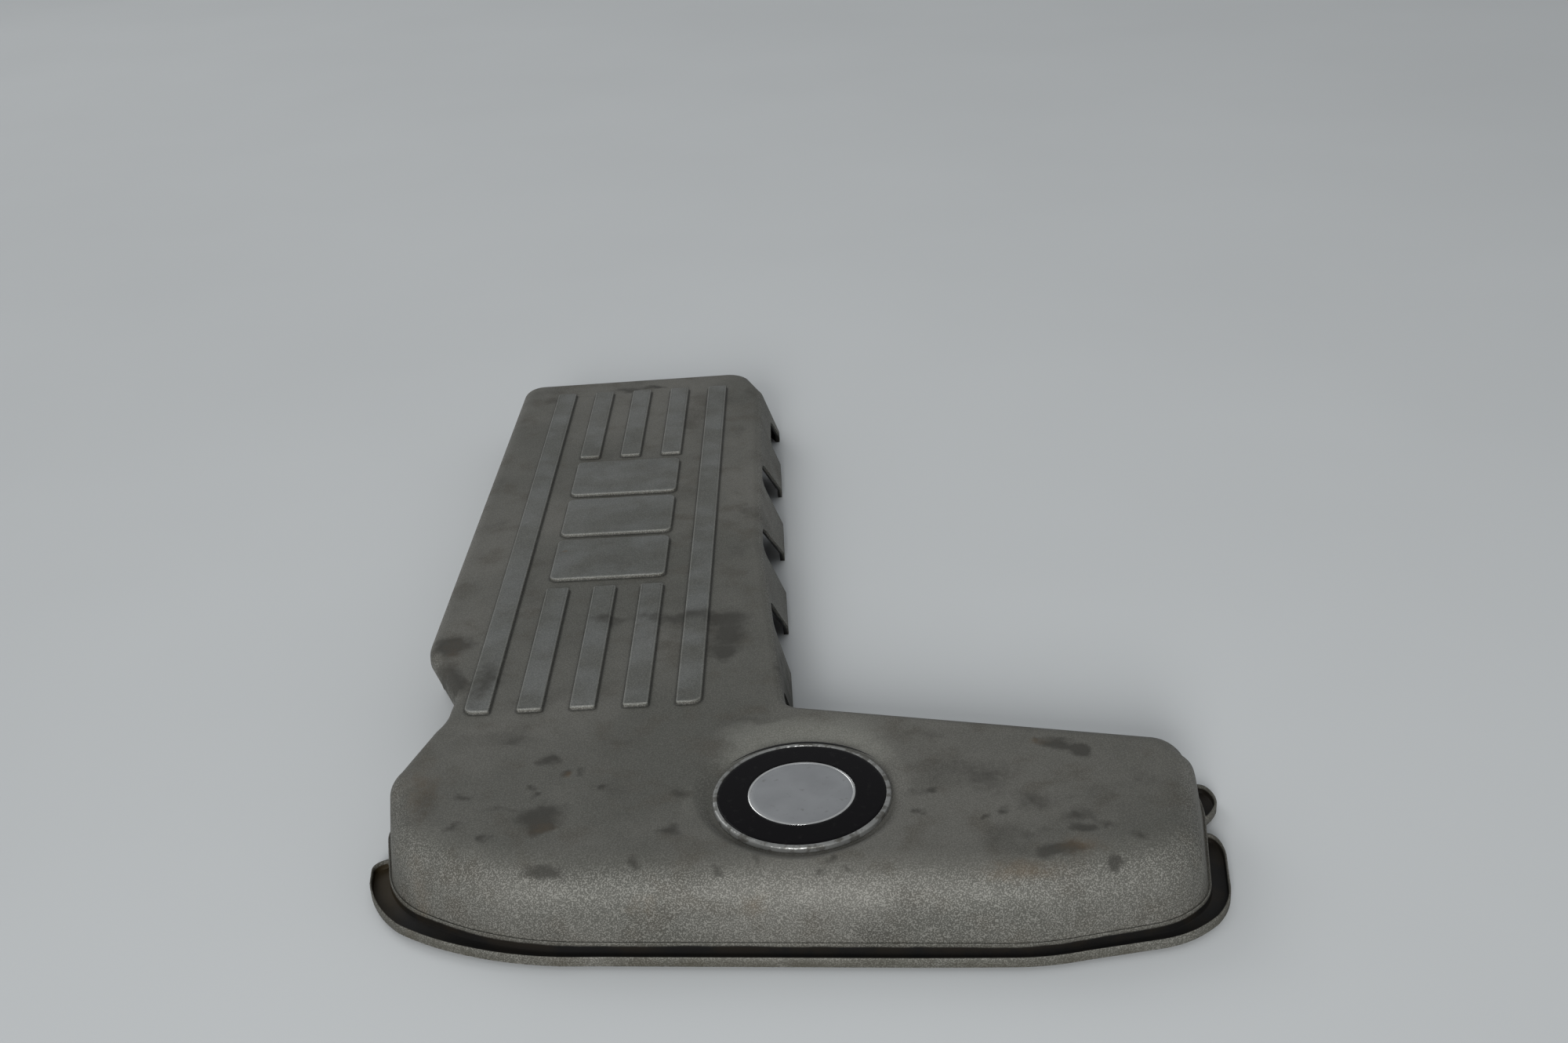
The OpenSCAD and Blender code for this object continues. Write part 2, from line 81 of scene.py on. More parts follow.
# Floor and light: a plain pale floor, even light from all round, a soft lamp in front that lights
# the front slope more than the top, and a weak one behind.
class Finish:
    """One material: each method adds a texture or a sum to its node graph and gives back the output."""
    def __init__(self, name):
        self.material = bpy.data.materials.new(name)
        self.material.use_nodes = True
        self.nodes, self.links = self.material.node_tree.nodes, self.material.node_tree.links
        self.shader = self.nodes["Principled BSDF"]
        self.place = self.nodes.new("ShaderNodeTexCoord").outputs["Object"]

    def put(self, socket, value):
        """Sets a socket to a number or colour, or links an output to it."""
        if isinstance(value, bpy.types.NodeSocket):
            self.links.new(value, socket)
        else:
            socket.default_value = value

    def noise(self, scale, detail=2.0, at=None, colour=False):
        """Fractal noise about 0.5; scale is in patches per metre."""
        node = self.nodes.new("ShaderNodeTexNoise")
        self.put(node.inputs["Vector"], at or self.place)
        node.inputs["Scale"].default_value = scale
        node.inputs["Detail"].default_value = detail
        return node.outputs["Color" if colour else "Fac"]

    def math(self, kind, a, b=0.0, c=0.0):
        """One sum of two or three values."""
        node = self.nodes.new("ShaderNodeMath")
        node.operation = kind
        for socket, value in zip(node.inputs, (a, b, c)):
            self.put(socket, value)
        return node.outputs[0]

    def product(self, a, b):
        """One value times another."""
        return self.math("MULTIPLY", a, b)

    def scaled(self, value, factor, plus):
        """The value times a factor, plus a number or another value."""
        return self.math("MULTIPLY_ADD", value, factor, plus)

    def side_of(self, value, sign):
        """The part of a value on one side of zero: sign times the value where that is positive, else 0."""
        return self.math("MAXIMUM", self.product(value, sign), 0.0)

    def step(self, value, low, high, a=0.0, b=1.0):
        """A soft step from a at low to b at high: t squared times (3 - 2 t)."""
        node = self.nodes.new("ShaderNodeMapRange")
        node.interpolation_type = "SMOOTHSTEP"
        titles = ("Value", "From Min", "From Max", "To Min", "To Max")
        for title, item in zip(titles, (value, low, high, a, b)):
            self.put(node.inputs[title], item)
        return node.outputs["Result"]

    def mix(self, share, a, b):
        """Colour a with the given share of colour b."""
        node = self.nodes.new("ShaderNodeMix")
        node.data_type = "RGBA"
        self.put(node.inputs[0], share)
        self.put(node.inputs[6], a)
        self.put(node.inputs[7], b)
        return node.outputs[2]

    def lay(self, tone, mask, most, colour):
        """Lays a colour over the tone; its share is the mask times the largest share."""
        return self.mix(self.product(mask, most), tone, colour)

    def bump(self, height, strength, distance, normal=None):
        """Tilts the shading normal along the slope of height; distance is in millimetres."""
        node = self.nodes.new("ShaderNodeBump")
        node.inputs["Strength"].default_value = strength
        node.inputs["Distance"].default_value = distance * MM
        self.put(node.inputs["Height"], height)
        if normal is not None:
            self.put(node.inputs["Normal"], normal)
        return node.outputs["Normal"]

    def finish(self, **values):
        """Sets or links the shader's sockets by name, with spaces for underscores."""
        for name, value in values.items():
            self.put(self.shader.inputs[name.replace("_", " ")], value)
        return self.material


def linear(red, green, blue):
    """An sRGB colour of 0 to 255 as linear red, green, blue, alpha: the usual piecewise power of 2.4."""
    c = np.array([red, green, blue]) / 255.0
    c = np.where(c <= 0.04045, c / 12.92, ((c + 0.055) / 1.055) ** 2.4)
    return (*[float(v) for v in c], 1.0)


def new_piece(name, verts, faces):
    """A smooth mesh object at the origin, its verts given in millimetres from the badge centre."""
    mesh = bpy.data.meshes.new(name)
    mesh.from_pydata(placed(verts).tolist(), [], [list(map(int, f)) for f in faces])
    mesh.update()
    mesh.shade_smooth()
    piece = bpy.data.objects.new(name, mesh)
    bpy.context.scene.collection.objects.link(piece)
    return piece


floor_half = 9000.0
floor = new_piece("floor", floor_half * np.array([[-1, -1, 0], [1, -1, 0], [1, 1, 0], [-1, 1, 0]]),
                  [[0, 1, 2, 3]])
paper = Finish("floor_paper")
tone = paper.mix(paper.noise(3.0, 3.0), linear(182, 185, 186), linear(189, 192, 193))
floor.data.materials.append(paper.finish(Base_Color=tone, Roughness=0.8))

world = bpy.data.worlds.new("soft_room")
bpy.context.scene.world = world
world.use_nodes = True
room_light = world.node_tree.nodes["Background"]
room_light.inputs["Color"].default_value = (0.96, 0.98, 1.0, 1.0)
room_light.inputs["Strength"].default_value = 0.5


def soft_lamp(name, place, target, size, watts, spread):
    """A square lamp at place that faces target; its back axis is the unit vector from target to place. A
    narrow spread, in degrees, keeps the floor near the lamp from burning out."""
    data = bpy.data.lights.new(name, "AREA")
    data.shape = "SQUARE"
    data.size = size * MM
    data.energy = watts
    data.spread = np.radians(spread)
    lamp = bpy.data.objects.new(name, data)
    bpy.context.scene.collection.objects.link(lamp)
    back = np.array(place, float) - np.array(target, float)
    back /= np.linalg.norm(back)
    side = np.cross([0, 0, 1.0], back)
    side /= np.linalg.norm(side)
    turn = Matrix([list(side), list(np.cross(back, side)), list(back)]).transposed().to_4x4()
    lamp.matrix_world = Matrix.Translation(placed(place)) @ turn


soft_lamp("key_lamp", [-380, -2760, 1150], [0, 100, 0], size=1000, watts=10.8, spread=60)
soft_lamp("rear_lamp", [-1900, 2300, 2400], [0, 200, 0], size=1600, watts=22, spread=180)
bpy.context.scene.view_settings.view_transform = "Standard"

# Cover shell: one moulding in black plastic, 2.8 mm thick, painted warm grey on top. Its outline is
# a polygon with rounded corners; the wall profile is carried round it, and the notches and the
# gutter are made by changing the foot of that profile along the way.
top_z, wall, plinth_h = 42.0, 2.8, 8.4
corner_step = 3.0

# x, y, corner radius, ledge, lean of the wall, roll of the top edge
corners = np.array([
    [-202.5, 34, 24, 1.6, 3, 12], [-190.3, -21, 50, 1.6, 1.5, 20], [-136.5, -54, 150, 1.6, 0.6, 20],
    [100, -72, 110, 1.6, 0.6, 20], [161, -60.5, 42, 1.6, 1, 20], [178.5, -45, 28, 1.6, 2, 20],
    [188, 15, 60, 1.6, 3.5, 16], [188.5, 46, 26, 1.6, 6, 16], [-4, 80, 6, 0, 3.8, 5],
    [-9.5, 270, 4000, 0, 11.3, 6], [-14, 497, 24, 0, 9.3, 8], [-36, 535.95, 24, 0, 5.3, 8],
    [-199, 528.45, 18, 0, 3.3, 8], [-201, 149, 36, 0, 1.8, 6], [-178, 100, 8, 0, 1.8, 5],
    [-180.5, 78, 40, 0, 2.3, 6]])


def rounded_outline(corners, step):
    """Each corner becomes an arc in steps of so many degrees: its centre lies on the bisector at radius /
    sin(half the angle), its ends touch the two sides. Columns: x, y, outward normal, the corner's values."""
    out = []
    for i in range(len(corners)):
        before, at, after = corners[i - 1, :2], corners[i, :2], corners[(i + 1) % len(corners), :2]
        a = (before - at) / np.linalg.norm(before - at)
        b = (after - at) / np.linalg.norm(after - at)
        half = np.arccos(np.clip(a @ b, -1, 1)) / 2
        radius = corners[i, 2]
        centre = at + (a + b) / np.linalg.norm(a + b) * radius / np.sin(half)
        ends = [at + v * radius / np.tan(half) - centre for v in (a, b)]
        start, end = (np.arctan2(v[1], v[0]) for v in ends)
        turn = (end - start + np.pi) % (2 * np.pi) - np.pi
        t = start + turn * np.linspace(0, 1, int(np.ceil(abs(turn) / np.radians(step))) + 1)
        ray = np.column_stack([np.cos(t), np.sin(t)])
        out.append(np.column_stack([centre + radius * ray, np.sign(turn) * ray,
                                    np.tile(corners[i, 3:], (len(t), 1))]))
    return np.vstack(out)


rim = rounded_outline(corners, corner_step)
rim = np.vstack([rim, rim[:1]])
along = np.concatenate([[0], np.cumsum(np.linalg.norm(np.diff(rim[:, :2], axis=0), axis=1))])
rim_x, rim_y, faces_right = rim[:, 0], rim[:, 1], rim[:, 2]


# Cuts in the skirts: an upright near edge, a rounded top and a slanted far edge. On the right are
# five notches at an even pitch, of which the first is cut short by the front section and the last is
# lower. On the left is one long cut at the waist.
notch_near, notch_pitch, notch_w, notch_slant = 161, 92, 57.0, 27 / 38.0
notch_h, notch_h_first, notch_h_last, first_start = 38, 35, 24, 92
waist_near, waist_w, waist_slant, waist_h = 92, 84.1, 0.54, 33.5
cut_round, cut_bend, cut_step = 7.0, 6, 0.25


def skirt_cut(near, width, slant, height, start=None):
    """Height of the skirt's foot against y: straight up at the near edge, a quarter circle, level, a short
    bend (a parabola between three points), and a straight slant back to zero. What lies before start goes."""
    far = near + width
    a = np.linspace(np.pi, np.pi / 2, 8)
    rounded = np.column_stack([near + cut_round + cut_round * np.cos(a),
                               height - cut_round + cut_round * np.sin(a)])
    t = np.linspace(0, 1, 7)[:, None]
    p0, p1, p2 = np.array([[far - slant * height - cut_bend, height], [far - slant * height, height],
                           [far - slant * (height - cut_bend), height - cut_bend]])
    bent = (1 - t) ** 2 * p0 + 2 * t * (1 - t) * p1 + t ** 2 * p2
    curve = np.vstack([rounded, bent, [[far, 0]]])
    if start is not None:
        curve = np.vstack([[start, height], curve[curve[:, 0] > start]])
    return np.vstack([[curve[0, 0] - cut_step, 0], curve])


def along_side(side_rows, curve):
    """The curve's y turned into distance along the rim, for one side where y grows or falls all the way."""
    order = np.argsort(rim_y[side_rows])
    where = np.interp(curve[:, 0], rim_y[side_rows][order], along[side_rows][order])
    out = np.column_stack([where, curve[:, 1]])
    return out[np.argsort(out[:, 0])]


right_side = (faces_right > 0.9) & (rim_y > 84.5) & (rim_y < 500)
left_side = (faces_right < -0.5) & (rim_y > 60) & (rim_y < 520)
notches = [skirt_cut(notch_near - notch_pitch, notch_w, notch_slant, notch_h_first, first_start)]
for i, height in enumerate([notch_h, notch_h, notch_h, notch_h_last]):
    notches.append(skirt_cut(notch_near + i * notch_pitch, notch_w, notch_slant, height))
foot_curve = np.vstack([along_side(right_side, np.vstack(notches)),
                        along_side(left_side, skirt_cut(waist_near, waist_w, waist_slant, waist_h))])

# Gutter along the foot of the dome and small cup on the right side. Both stand out from the rim and
# are hollow: gutter_out and cup_out reach to the outer face, gutter_in and cup_in to the hollow's.
lift, gutter_top, gutter_floor, rim_drop = 2.0, 7.2, 3.2, 1.2
gutter_out, gutter_in = 8.1, 7.15
left_round, hollow_left_round, left_wall = 6, 5, 1.4
right_round, hollow_right_round, right_wall = 17, 15, 1.6
cup_out, cup_in, cup_end_wall = 8.6, 7.4, 1.5
gutter_left_y, gutter_right_y, cup_near_y, cup_middle_y, cup_far_y = 12.4, 2.2, 13.4, 32.0, 42.3

left_flank = (along < 120) & (rim_x < 0)
gutter_start = np.interp(-gutter_left_y, -rim_y[left_flank], along[left_flank])
right_flank = (rim_x > 170) & (faces_right > 0.8) & (rim_y < 50)
flank_order = np.argsort(rim_y[right_flank])
gutter_end, cup_start, cup_mid, cup_end = np.interp(
    [gutter_right_y, cup_near_y, cup_middle_y, cup_far_y],
    rim_y[right_flank][flank_order], along[right_flank][flank_order])

# The gutter is wider at its two corners: x of the rim against the extra width
swell = np.array([
    [-201, 0.8], [-189, 1.6], [-178, 2.6], [-164, 2.4], [-145, 1.4], [-120, 0.6], [-90, 0], [50, 0],
    [85, -0.45], [118, -0.45], [140, 0.3], [158, 1.0], [172, 1.2], [182, 0.0], [187, -0.6]])
swell_after, swell_run, swell_smooth = 4, 12, 7


def quarter(u):
    """Quarter circle from 0 at u = 0 to 1 at u = 1."""
    return np.sqrt(1 - (1 - np.clip(u, 0, 1)) ** 2)


def side_cup(s, depth, inset):
    """The small cup seen from above: a parabola on its near side, a squarer curve on its far side."""
    near = (cup_mid - s) / (cup_mid - cup_start - inset)
    far = (s - cup_mid) / (cup_end - cup_mid - inset)
    shape = np.where(s < cup_mid, 1 - near ** 2, np.sqrt(np.maximum(1 - np.abs(far) ** 3.4, 0)))
    return depth * np.clip(shape, 0, 1)


def stands_out(s):
    """Outer face and hollow's face of the gutter and the side cup at distance s along the rim, and how far
    the hollow is open. The swell is its table's straight lines averaged over 14 mm."""
    shifts = np.linspace(-swell_smooth, swell_smooth, 15)
    x = np.mean([np.interp(s + shift, along, rim_x) for shift in shifts], axis=0)
    extra = np.interp(x, *swell.T) * np.clip((s - gutter_start - swell_after) / swell_run, 0, 1)
    outside = (gutter_out + extra) * quarter((s - gutter_start) / left_round)
    outside = outside * quarter((gutter_end - s) / right_round)
    hollow = (gutter_in + extra) * quarter((s - gutter_start - left_wall) / hollow_left_round)
    hollow = hollow * quarter((gutter_end - right_wall - s) / hollow_right_round)
    outside = np.maximum(outside, side_cup(s, cup_out, 0.0))
    hollow = np.maximum(hollow, side_cup(s, cup_in, cup_end_wall))
    return outside, hollow, np.clip(hollow / 0.4, 0, 1)


# The badge's recess, and the pad below it, reach a little way into the rolled front edge: the rows of
# the wall stop where they meet the circle round the badge, and the recess starts from there.
seat_z, seat_r = 38.6, 41.5
pad_z, pad_r, pad_flare = seat_z - wall, seat_r + wall, 0.9
recess_front, recess_more, recess_power, level_row = 48.2, 11.0, 2.2, 0.8


def rim_at(s):
    """Point, outward normal, ledge, lean and roll of the rim at distance s along it."""
    row = np.column_stack([np.interp(s, along, c) for c in rim.T])
    normal = row[:, 2:4] / np.linalg.norm(row[:, 2:4], axis=1)[:, None]
    return row[:, :2], normal, row[:, 4], row[:, 5], row[:, 6]


def brim(x, y):
    """Radius of the recess's edge towards x, y: it grows to the back by a power of (1 + y / radius) / 2."""
    return recess_front + recess_more * ((1 + y / np.hypot(x, y)) / 2) ** recess_power


def pad_brim(x, y):
    """Radius of the pad's edge, the same all round."""
    return pad_r + pad_flare + 0 * x


def reach(s, edge):
    """How far in from the rim a row may go, up to a little past the roll, before it is inside the circle
    of radius edge: the interval is halved 40 times."""
    base, normal, lip, lean, roll = rim_at(s)
    low, high = np.zeros(len(s)), lip + lean + roll + level_row
    for _ in range(40):
        middle = (low + high) / 2
        x, y = (base - normal * middle[:, None]).T
        inside = np.hypot(x, y) < edge(x, y)
        low, high = np.where(inside, low, middle), np.where(inside, middle, high)
    return high


def front_stops(edge):
    """Distances along the rim between which the rows meet the circle, in steps of about 1.5 mm."""
    fine = np.arange(0, along[-1], 0.02)
    base, normal, lip, lean, roll = rim_at(fine)
    x, y = (base - normal * (lip + lean + roll + level_row)[:, None]).T
    first, last = fine[np.hypot(x, y) < edge(x, y)][[0, -1]]
    return np.linspace(first, last, int((last - first) / 1.5))


# Columns of the skin: the rim's own points, even steps of 4 mm, the corners of all cuts, and closer
# ones at the round ends of the gutter and the cup and in front of the badge
s = np.unique(np.round(np.concatenate([
    along[:-1], np.linspace(0, along[-1], int(along[-1] / 4.0))[:-1], foot_curve[:, 0],
    gutter_start + np.array([0, 0.1, 0.4, 0.9, 1.4, 1.5, 1.8, 2.3, 2.8, 3.6, 4.8, 6, 7]),
    gutter_end - np.array([0, 0.1, 0.4, 0.9, 1.6, 1.7, 2.1, 2.8, 3.5, 4.6, 6, 8, 10.5, 13, 16, 17.5]),
    np.linspace(cup_start, cup_end, 40),
    cup_end - np.array([0.05, 0.2, 0.5, 1, 1.5, 1.55, 1.8, 2.2, 2.6, 3]),
    front_stops(brim), front_stops(pad_brim)]), 4))
base, normal, lip, lean, roll = rim_at(s)
foot = np.interp(s, foot_curve[:, 0], foot_curve[:, 1], left=0, right=0)
outside, hollow, opened = stands_out(s)
rim_z = gutter_top - rim_drop * (1 - np.clip(outside, 0, 1))


def wall_profile(t, foot, straight_rows, roll_rows):
    """Inset and height of the skin at depth t: the line from the ledge that touches the roll's circle, then
    that circle up to the level top. The part below foot is left out, and the rest is spread over all rows."""
    radius = roll
    run, rise = lean + roll, top_z - radius - plinth_h
    tilt = np.arctan2(run, rise) - np.arcsin(radius / np.hypot(run, rise))
    line_foot = plinth_h - t * np.sin(tilt)
    line_top = top_z - radius + (radius - t) * np.sin(tilt)
    line_share = 0.35
    low = np.clip((foot - line_foot) / (line_top - line_foot), 0, 1) * line_share
    angle = np.arcsin(np.clip((foot - (top_z - radius)) / (radius - t), -1, 1))
    high = line_share + (1 - line_share) * (angle - tilt) / (np.pi / 2 - tilt)
    first = np.where(foot > line_top, high, low)
    rows = np.concatenate([np.linspace(0, line_share, straight_rows, endpoint=False),
                           np.linspace(line_share, 1, roll_rows)])[:, None]
    part = first + (1 - first) * rows
    line = np.clip(part / line_share, 0, 1)
    a = tilt + np.clip((part - line_share) / (1 - line_share), 0, 1) * (np.pi / 2 - tilt)
    inset_line = t * np.cos(tilt) + line * (run - (radius - t) * np.cos(tilt) - t * np.cos(tilt))
    z_line = line_foot + line * (line_top - line_foot)
    inset = np.where(part < line_share, inset_line, run - (radius - t) * np.cos(a))
    z = np.where(part < line_share, z_line, top_z - radius + (radius - t) * np.sin(a))
    return lip + inset, z


def ring(out, z):
    """Points that stand out from the rim by out at height z."""
    p = base + normal * out[:, None]
    return np.column_stack([p, np.broadcast_to(z, len(p))])


def stopped(profile, t, edge):
    """The profile at depth t with one more level row, each row held back to where it meets the circle
    round the badge. Height at inset i: top - roll + root of ((roll - t) squared - (run - i) squared)."""
    inset, z = profile
    inset, z = np.vstack([inset, inset[-1:] + level_row]), np.vstack([z, z[-1:]])
    limit = reach(s, edge)
    short = np.minimum(np.clip(lip + lean + roll - limit, 0, None), roll - t - 0.5)
    return np.minimum(inset, limit), np.minimum(z, top_z - roll + np.sqrt((roll - t) ** 2 - short ** 2))


outer_inset, outer_z = stopped(wall_profile(0.0, foot, 7, 15), 0.0, brim)
inner_inset, inner_z = stopped(wall_profile(wall, foot, 6, 9), wall, pad_brim)
zero = np.zeros(len(s))
bead = lip / corners[:, 3].max()


def hollow_z(z):
    """Height of a point of the gutter's hollow: z where it is open, the rim's height where it is closed."""
    return rim_z + (z - rim_z) * opened


def beaded(down, scale):
    """Height near the ledge: down below the plinth's top, and lower by scale where the ledge has its bead."""
    hollow_top = hollow_z(gutter_floor + 2.2)
    return np.maximum(plinth_h - down - scale * bead, np.minimum(hollow_top, plinth_h - 0.02))


# Each row of the foot: distance out from the rim, height, share of paint. Bare plastic shows in the
# open hollow and along the ledge; where these are closed, the rows are painted as the wall is.
outside_rows = [
    (zero, zero, 0.5), (zero, zero + lift, 0.7), (np.maximum(outside - 0.5, 0), zero + lift, 0.7),
    (outside, zero + lift + 0.5, 1), (outside, (lift + rim_z) / 2, 1), (outside, rim_z - 0.6, 1),
    (np.maximum(outside - 0.2, 0), rim_z - 0.15, 1), ((outside + hollow) / 2, rim_z, 1)]
hollow_rows = [
    (hollow + 0.2 * opened, hollow_z(gutter_top - 0.12), 1), (hollow, hollow_z(gutter_top - 0.6), 0.75),
    (hollow, hollow_z(gutter_top - 2.2), 0.1), (hollow, hollow_z(gutter_floor + 1.2), 0),
    (np.maximum(hollow - 0.4, hollow / 2), hollow_z(gutter_floor + 0.3), 0),
    (np.maximum(hollow - 1.2, hollow / 2), hollow_z(gutter_floor), 0),
    (np.minimum(0.9, hollow / 2), hollow_z(gutter_floor), 0),
    (np.minimum(0.3, hollow / 2), hollow_z(gutter_floor + 0.3), 0),
    (zero, hollow_z(gutter_floor + 1.1), 0), (zero, hollow_z(gutter_floor + 2.2), 0)]
ledge_rows = [
    (zero, beaded(0.05, 0.9), 0.6), (-0.12 * bead, beaded(0.04, 0.24), 1),
    (-0.45 * bead, beaded(0.02, 0), 1), (-0.85 * bead, beaded(0.02, 0.15), 1),
    (-1.2 * bead, beaded(0.02, 0.6), 0.55), (-1.45 * bead, beaded(0.01, 0.5), 0.55)]
rows, paint_share = [], []
for group, shown in ((outside_rows, 1 + zero), (hollow_rows, opened), (ledge_rows, np.clip(bead, 0, 1))):
    for out, z, share in group:
        rows.append(ring(np.where(foot > plinth_h - 1, -outer_inset[0], out), np.maximum(z, foot)))
        paint_share.append(1 - (1 - share) * shown)
rows += [ring(-inset, z) for inset, z in zip(outer_inset, outer_z)]
paint_share += [1 + zero] * len(outer_z)
under = []
for z in (zero, zero + plinth_h - wall):
    under.append(ring(np.where(foot > plinth_h - wall, -inner_inset[0], -wall), np.maximum(z, foot)))
under += [ring(-inset, z) for inset, z in zip(inner_inset, inner_z)]
rows = under[::-1] + rows
paint_share = [zero] * len(under) + paint_share


class Stock:
    """Grids gathered into one mesh: points, faces, and the share of paint and of painted edge highlight and
    crease shade at each point.
    """
    def __init__(self):
        self.points, self.faces, self.paint, self.wear, self.count = [], [], [], [], 0

    def grid(self, rows, paint=0.0, wear=0.0, flip=False):
        """Rows of points round a closed path; each cell between two rows is one face."""
        rows = np.asarray(rows)
        m, n = rows.shape[:2]
        i, j = np.meshgrid(np.arange(m - 1), np.arange(n), indexing="ij")
        k = (j + 1) % n
        cells = np.stack([i * n + j, i * n + k, (i + 1) * n + k, (i + 1) * n + j], axis=-1).reshape(-1, 4)
        self.faces += ((cells[:, ::-1] if flip else cells) + self.count).tolist()
        self.points.append(rows.reshape(-1, 3))
        for store, value in ((self.paint, paint), (self.wear, wear)):
            value = np.asarray(value, float)
            store.append(np.broadcast_to(value[:, None] if value.ndim == 1 else value, (m, n)).ravel())
        self.count += m * n

    def prism(self, outline, step):
        """A closed solid: the flat outline and its copy moved by step, joined along the sides."""
        outline = np.asarray(outline, float)
        n = len(outline)
        self.grid([outline, outline + step])
        first, second = self.count - 2 * n, self.count - n
        self.faces += [list(range(first, second)), list(range(second, self.count))]

    def close(self, name, levels=()):
        """Merges points that coincide, fills the level areas between the open edges at each height, drops
        the tiny flaps that merging leaves on a third side of an edge, turns all faces outward and keeps
        the edges that turn by more than 38 degrees sharp."""
        piece = new_piece(name, np.vstack(self.points), self.faces)
        for title, values in (("paint", self.paint), ("wear", self.wear)):
            layer = piece.data.attributes.new(title, "FLOAT", "POINT")
            layer.data.foreach_set("value", np.concatenate(values))
        bm = bmesh.new()
        bm.from_mesh(piece.data)
        bmesh.ops.remove_doubles(bm, verts=bm.verts, dist=0.02 * MM)
        for level in levels:
            edges = [e for e in bm.edges if e.is_boundary
                     and all(abs(v.co.z - level * MM) < 1e-6 for v in e.verts)]
            bmesh.ops.triangle_fill(bm, use_beauty=True, use_dissolve=False, edges=edges, normal=(0, 0, 1))
        flaps = [0]
        while flaps:
            flaps = [f for f in bm.faces if any(e.is_boundary for e in f.edges)
                     and any(len(e.link_faces) > 2 for e in f.edges)]
            bmesh.ops.delete(bm, geom=flaps, context="FACES")
        bmesh.ops.delete(bm, geom=[e for e in bm.edges if e.is_wire], context="EDGES")
        bmesh.ops.recalc_face_normals(bm, faces=bm.faces)
        if not all(e.is_manifold for e in bm.edges):
            print(name, "is not closed")
        bm.to_mesh(piece.data)
        bm.free()
        piece.data.shade_smooth()
        piece.data.set_sharp_from_angle(angle=np.radians(38))
        return piece


shell = Stock()
shell.grid(rows, paint_share)

# Raised bars and plain blocks: a rounded rectangle carries a low profile with a soft foot and a soft
# top edge. The profile is distance out and height, with its painted light and shade: below 0 painted
# shade in the crease, above 0 a painted highlight on the edge. The outer two bars run through, and
# three blocks stand where the inner ones break.
bar_h = 2.2
relief = np.array([[1.7, 0], [1.0, 0], [0.62, 0.05], [0.3, 0.22], [0.1, 0.5], [0, 0.9], [-0.04, 1.35],
                   [-0.16, 1.8], [-0.4, 2.08], [-0.75, bar_h], [-1.3, bar_h]])
relief_wear = [0, -0.4, -1, -1, -0.8, -0.3, 0.2, 1, 1, 0.4, 0]
bar_count, bar_x, bar_pitch, bar_w, bar_round, bar_small_round = 5, -168.4, 26.6, 12.7, 5, 1.2
bar_near, bar_break_near, bar_break_far, bar_far = 80.5, 207, 387, 498.5
block_count, block_near, block_l, block_gap, block_round = 3, 218, 48.667, 7, 4


def rounded_rectangle(x0, y0, x1, y1, radii, steps=6):
    """Four quarter arcs, from the near left corner anticlockwise: points and outward normals."""
    middles = [(x0 + radii[0], y0 + radii[0]), (x1 - radii[1], y0 + radii[1]),
               (x1 - radii[2], y1 - radii[2]), (x0 + radii[3], y1 - radii[3])]
    a = np.radians(180 + 90 * np.arange(4)[:, None] + np.linspace(0, 90, steps + 1))
    ray = np.stack([np.cos(a), np.sin(a)], axis=-1)
    points = np.array(middles)[:, None] + np.array(radii)[:, None, None] * ray
    return points.reshape(-1, 2), ray.reshape(-1, 2)


def level_rows(points, normals, profile):
    """One level row of points for each step of the profile, moved out along the normals to its height."""
    return [np.column_stack([points + normals * out, np.full(len(points), z)]) for out, z in profile]


def raise_plate(x0, y0, x1, y1, radii):
    """Carries the relief round a rounded rectangle on the top."""
    shell.grid(level_rows(*rounded_rectangle(x0, y0, x1, y1, radii), relief + [0, top_z]), 1.0, relief_wear)


for i in range(bar_count):
    x0 = bar_x + i * bar_pitch
    radii = [bar_small_round] * 4
    spans = [(bar_near, bar_break_near), (bar_break_far, bar_far)]
    if i in (0, bar_count - 1):
        radii[0 if i == 0 else 1] = bar_round
        spans = [(bar_near, bar_far)]
    for near, far in spans:
        raise_plate(x0, near, x0 + bar_w, far, radii)
for i in range(block_count):
    near = block_near + i * (block_l + block_gap)
    raise_plate(bar_x + bar_pitch, near, bar_x + 3 * bar_pitch + bar_w, near + block_l, [block_round] * 4)


def circle(radius, z, centre=(0, 0), n=96):
    """Points of a level circle."""
    a = np.arange(n) * 2 * np.pi / n
    x, y = centre[0] + radius * np.cos(a), centre[1] + radius * np.sin(a)
    return np.column_stack([x, y, np.full(n, float(z))])


# Recess for the badge: an S shaped slope, wider behind the badge, down to a level seat with two pin
# holes. Under it the pad keeps the wall's thickness.
pin_x, pin_hole_r = 25.0, 2.1
ceiling = top_z - wall


def round_badge(stops, edge, level):
    """Angles, radii and heights of the circle round the badge: in front, the points where the wall's rows
    stop on it, and from there even steps round the back at the given level."""
    x, y, z = stops.T
    met = np.abs(np.hypot(x, y) - edge(x, y)) < 0.01
    front = np.arctan2(y[met], x[met])
    order = np.argsort(front)
    back = np.linspace(front[order[-1]], front[order[0]] + 2 * np.pi, 84)[1:-1]
    a = np.concatenate([front[order], back])
    return a, edge(np.cos(a), np.sin(a)), np.concatenate([z[met][order], np.full(len(back), level)])


def turn_ring(a, radius, z):
    """Points at angles a round the badge, at one radius and height or one for each angle."""
    return np.column_stack([radius * np.cos(a), radius * np.sin(a), np.broadcast_to(z, len(a))])


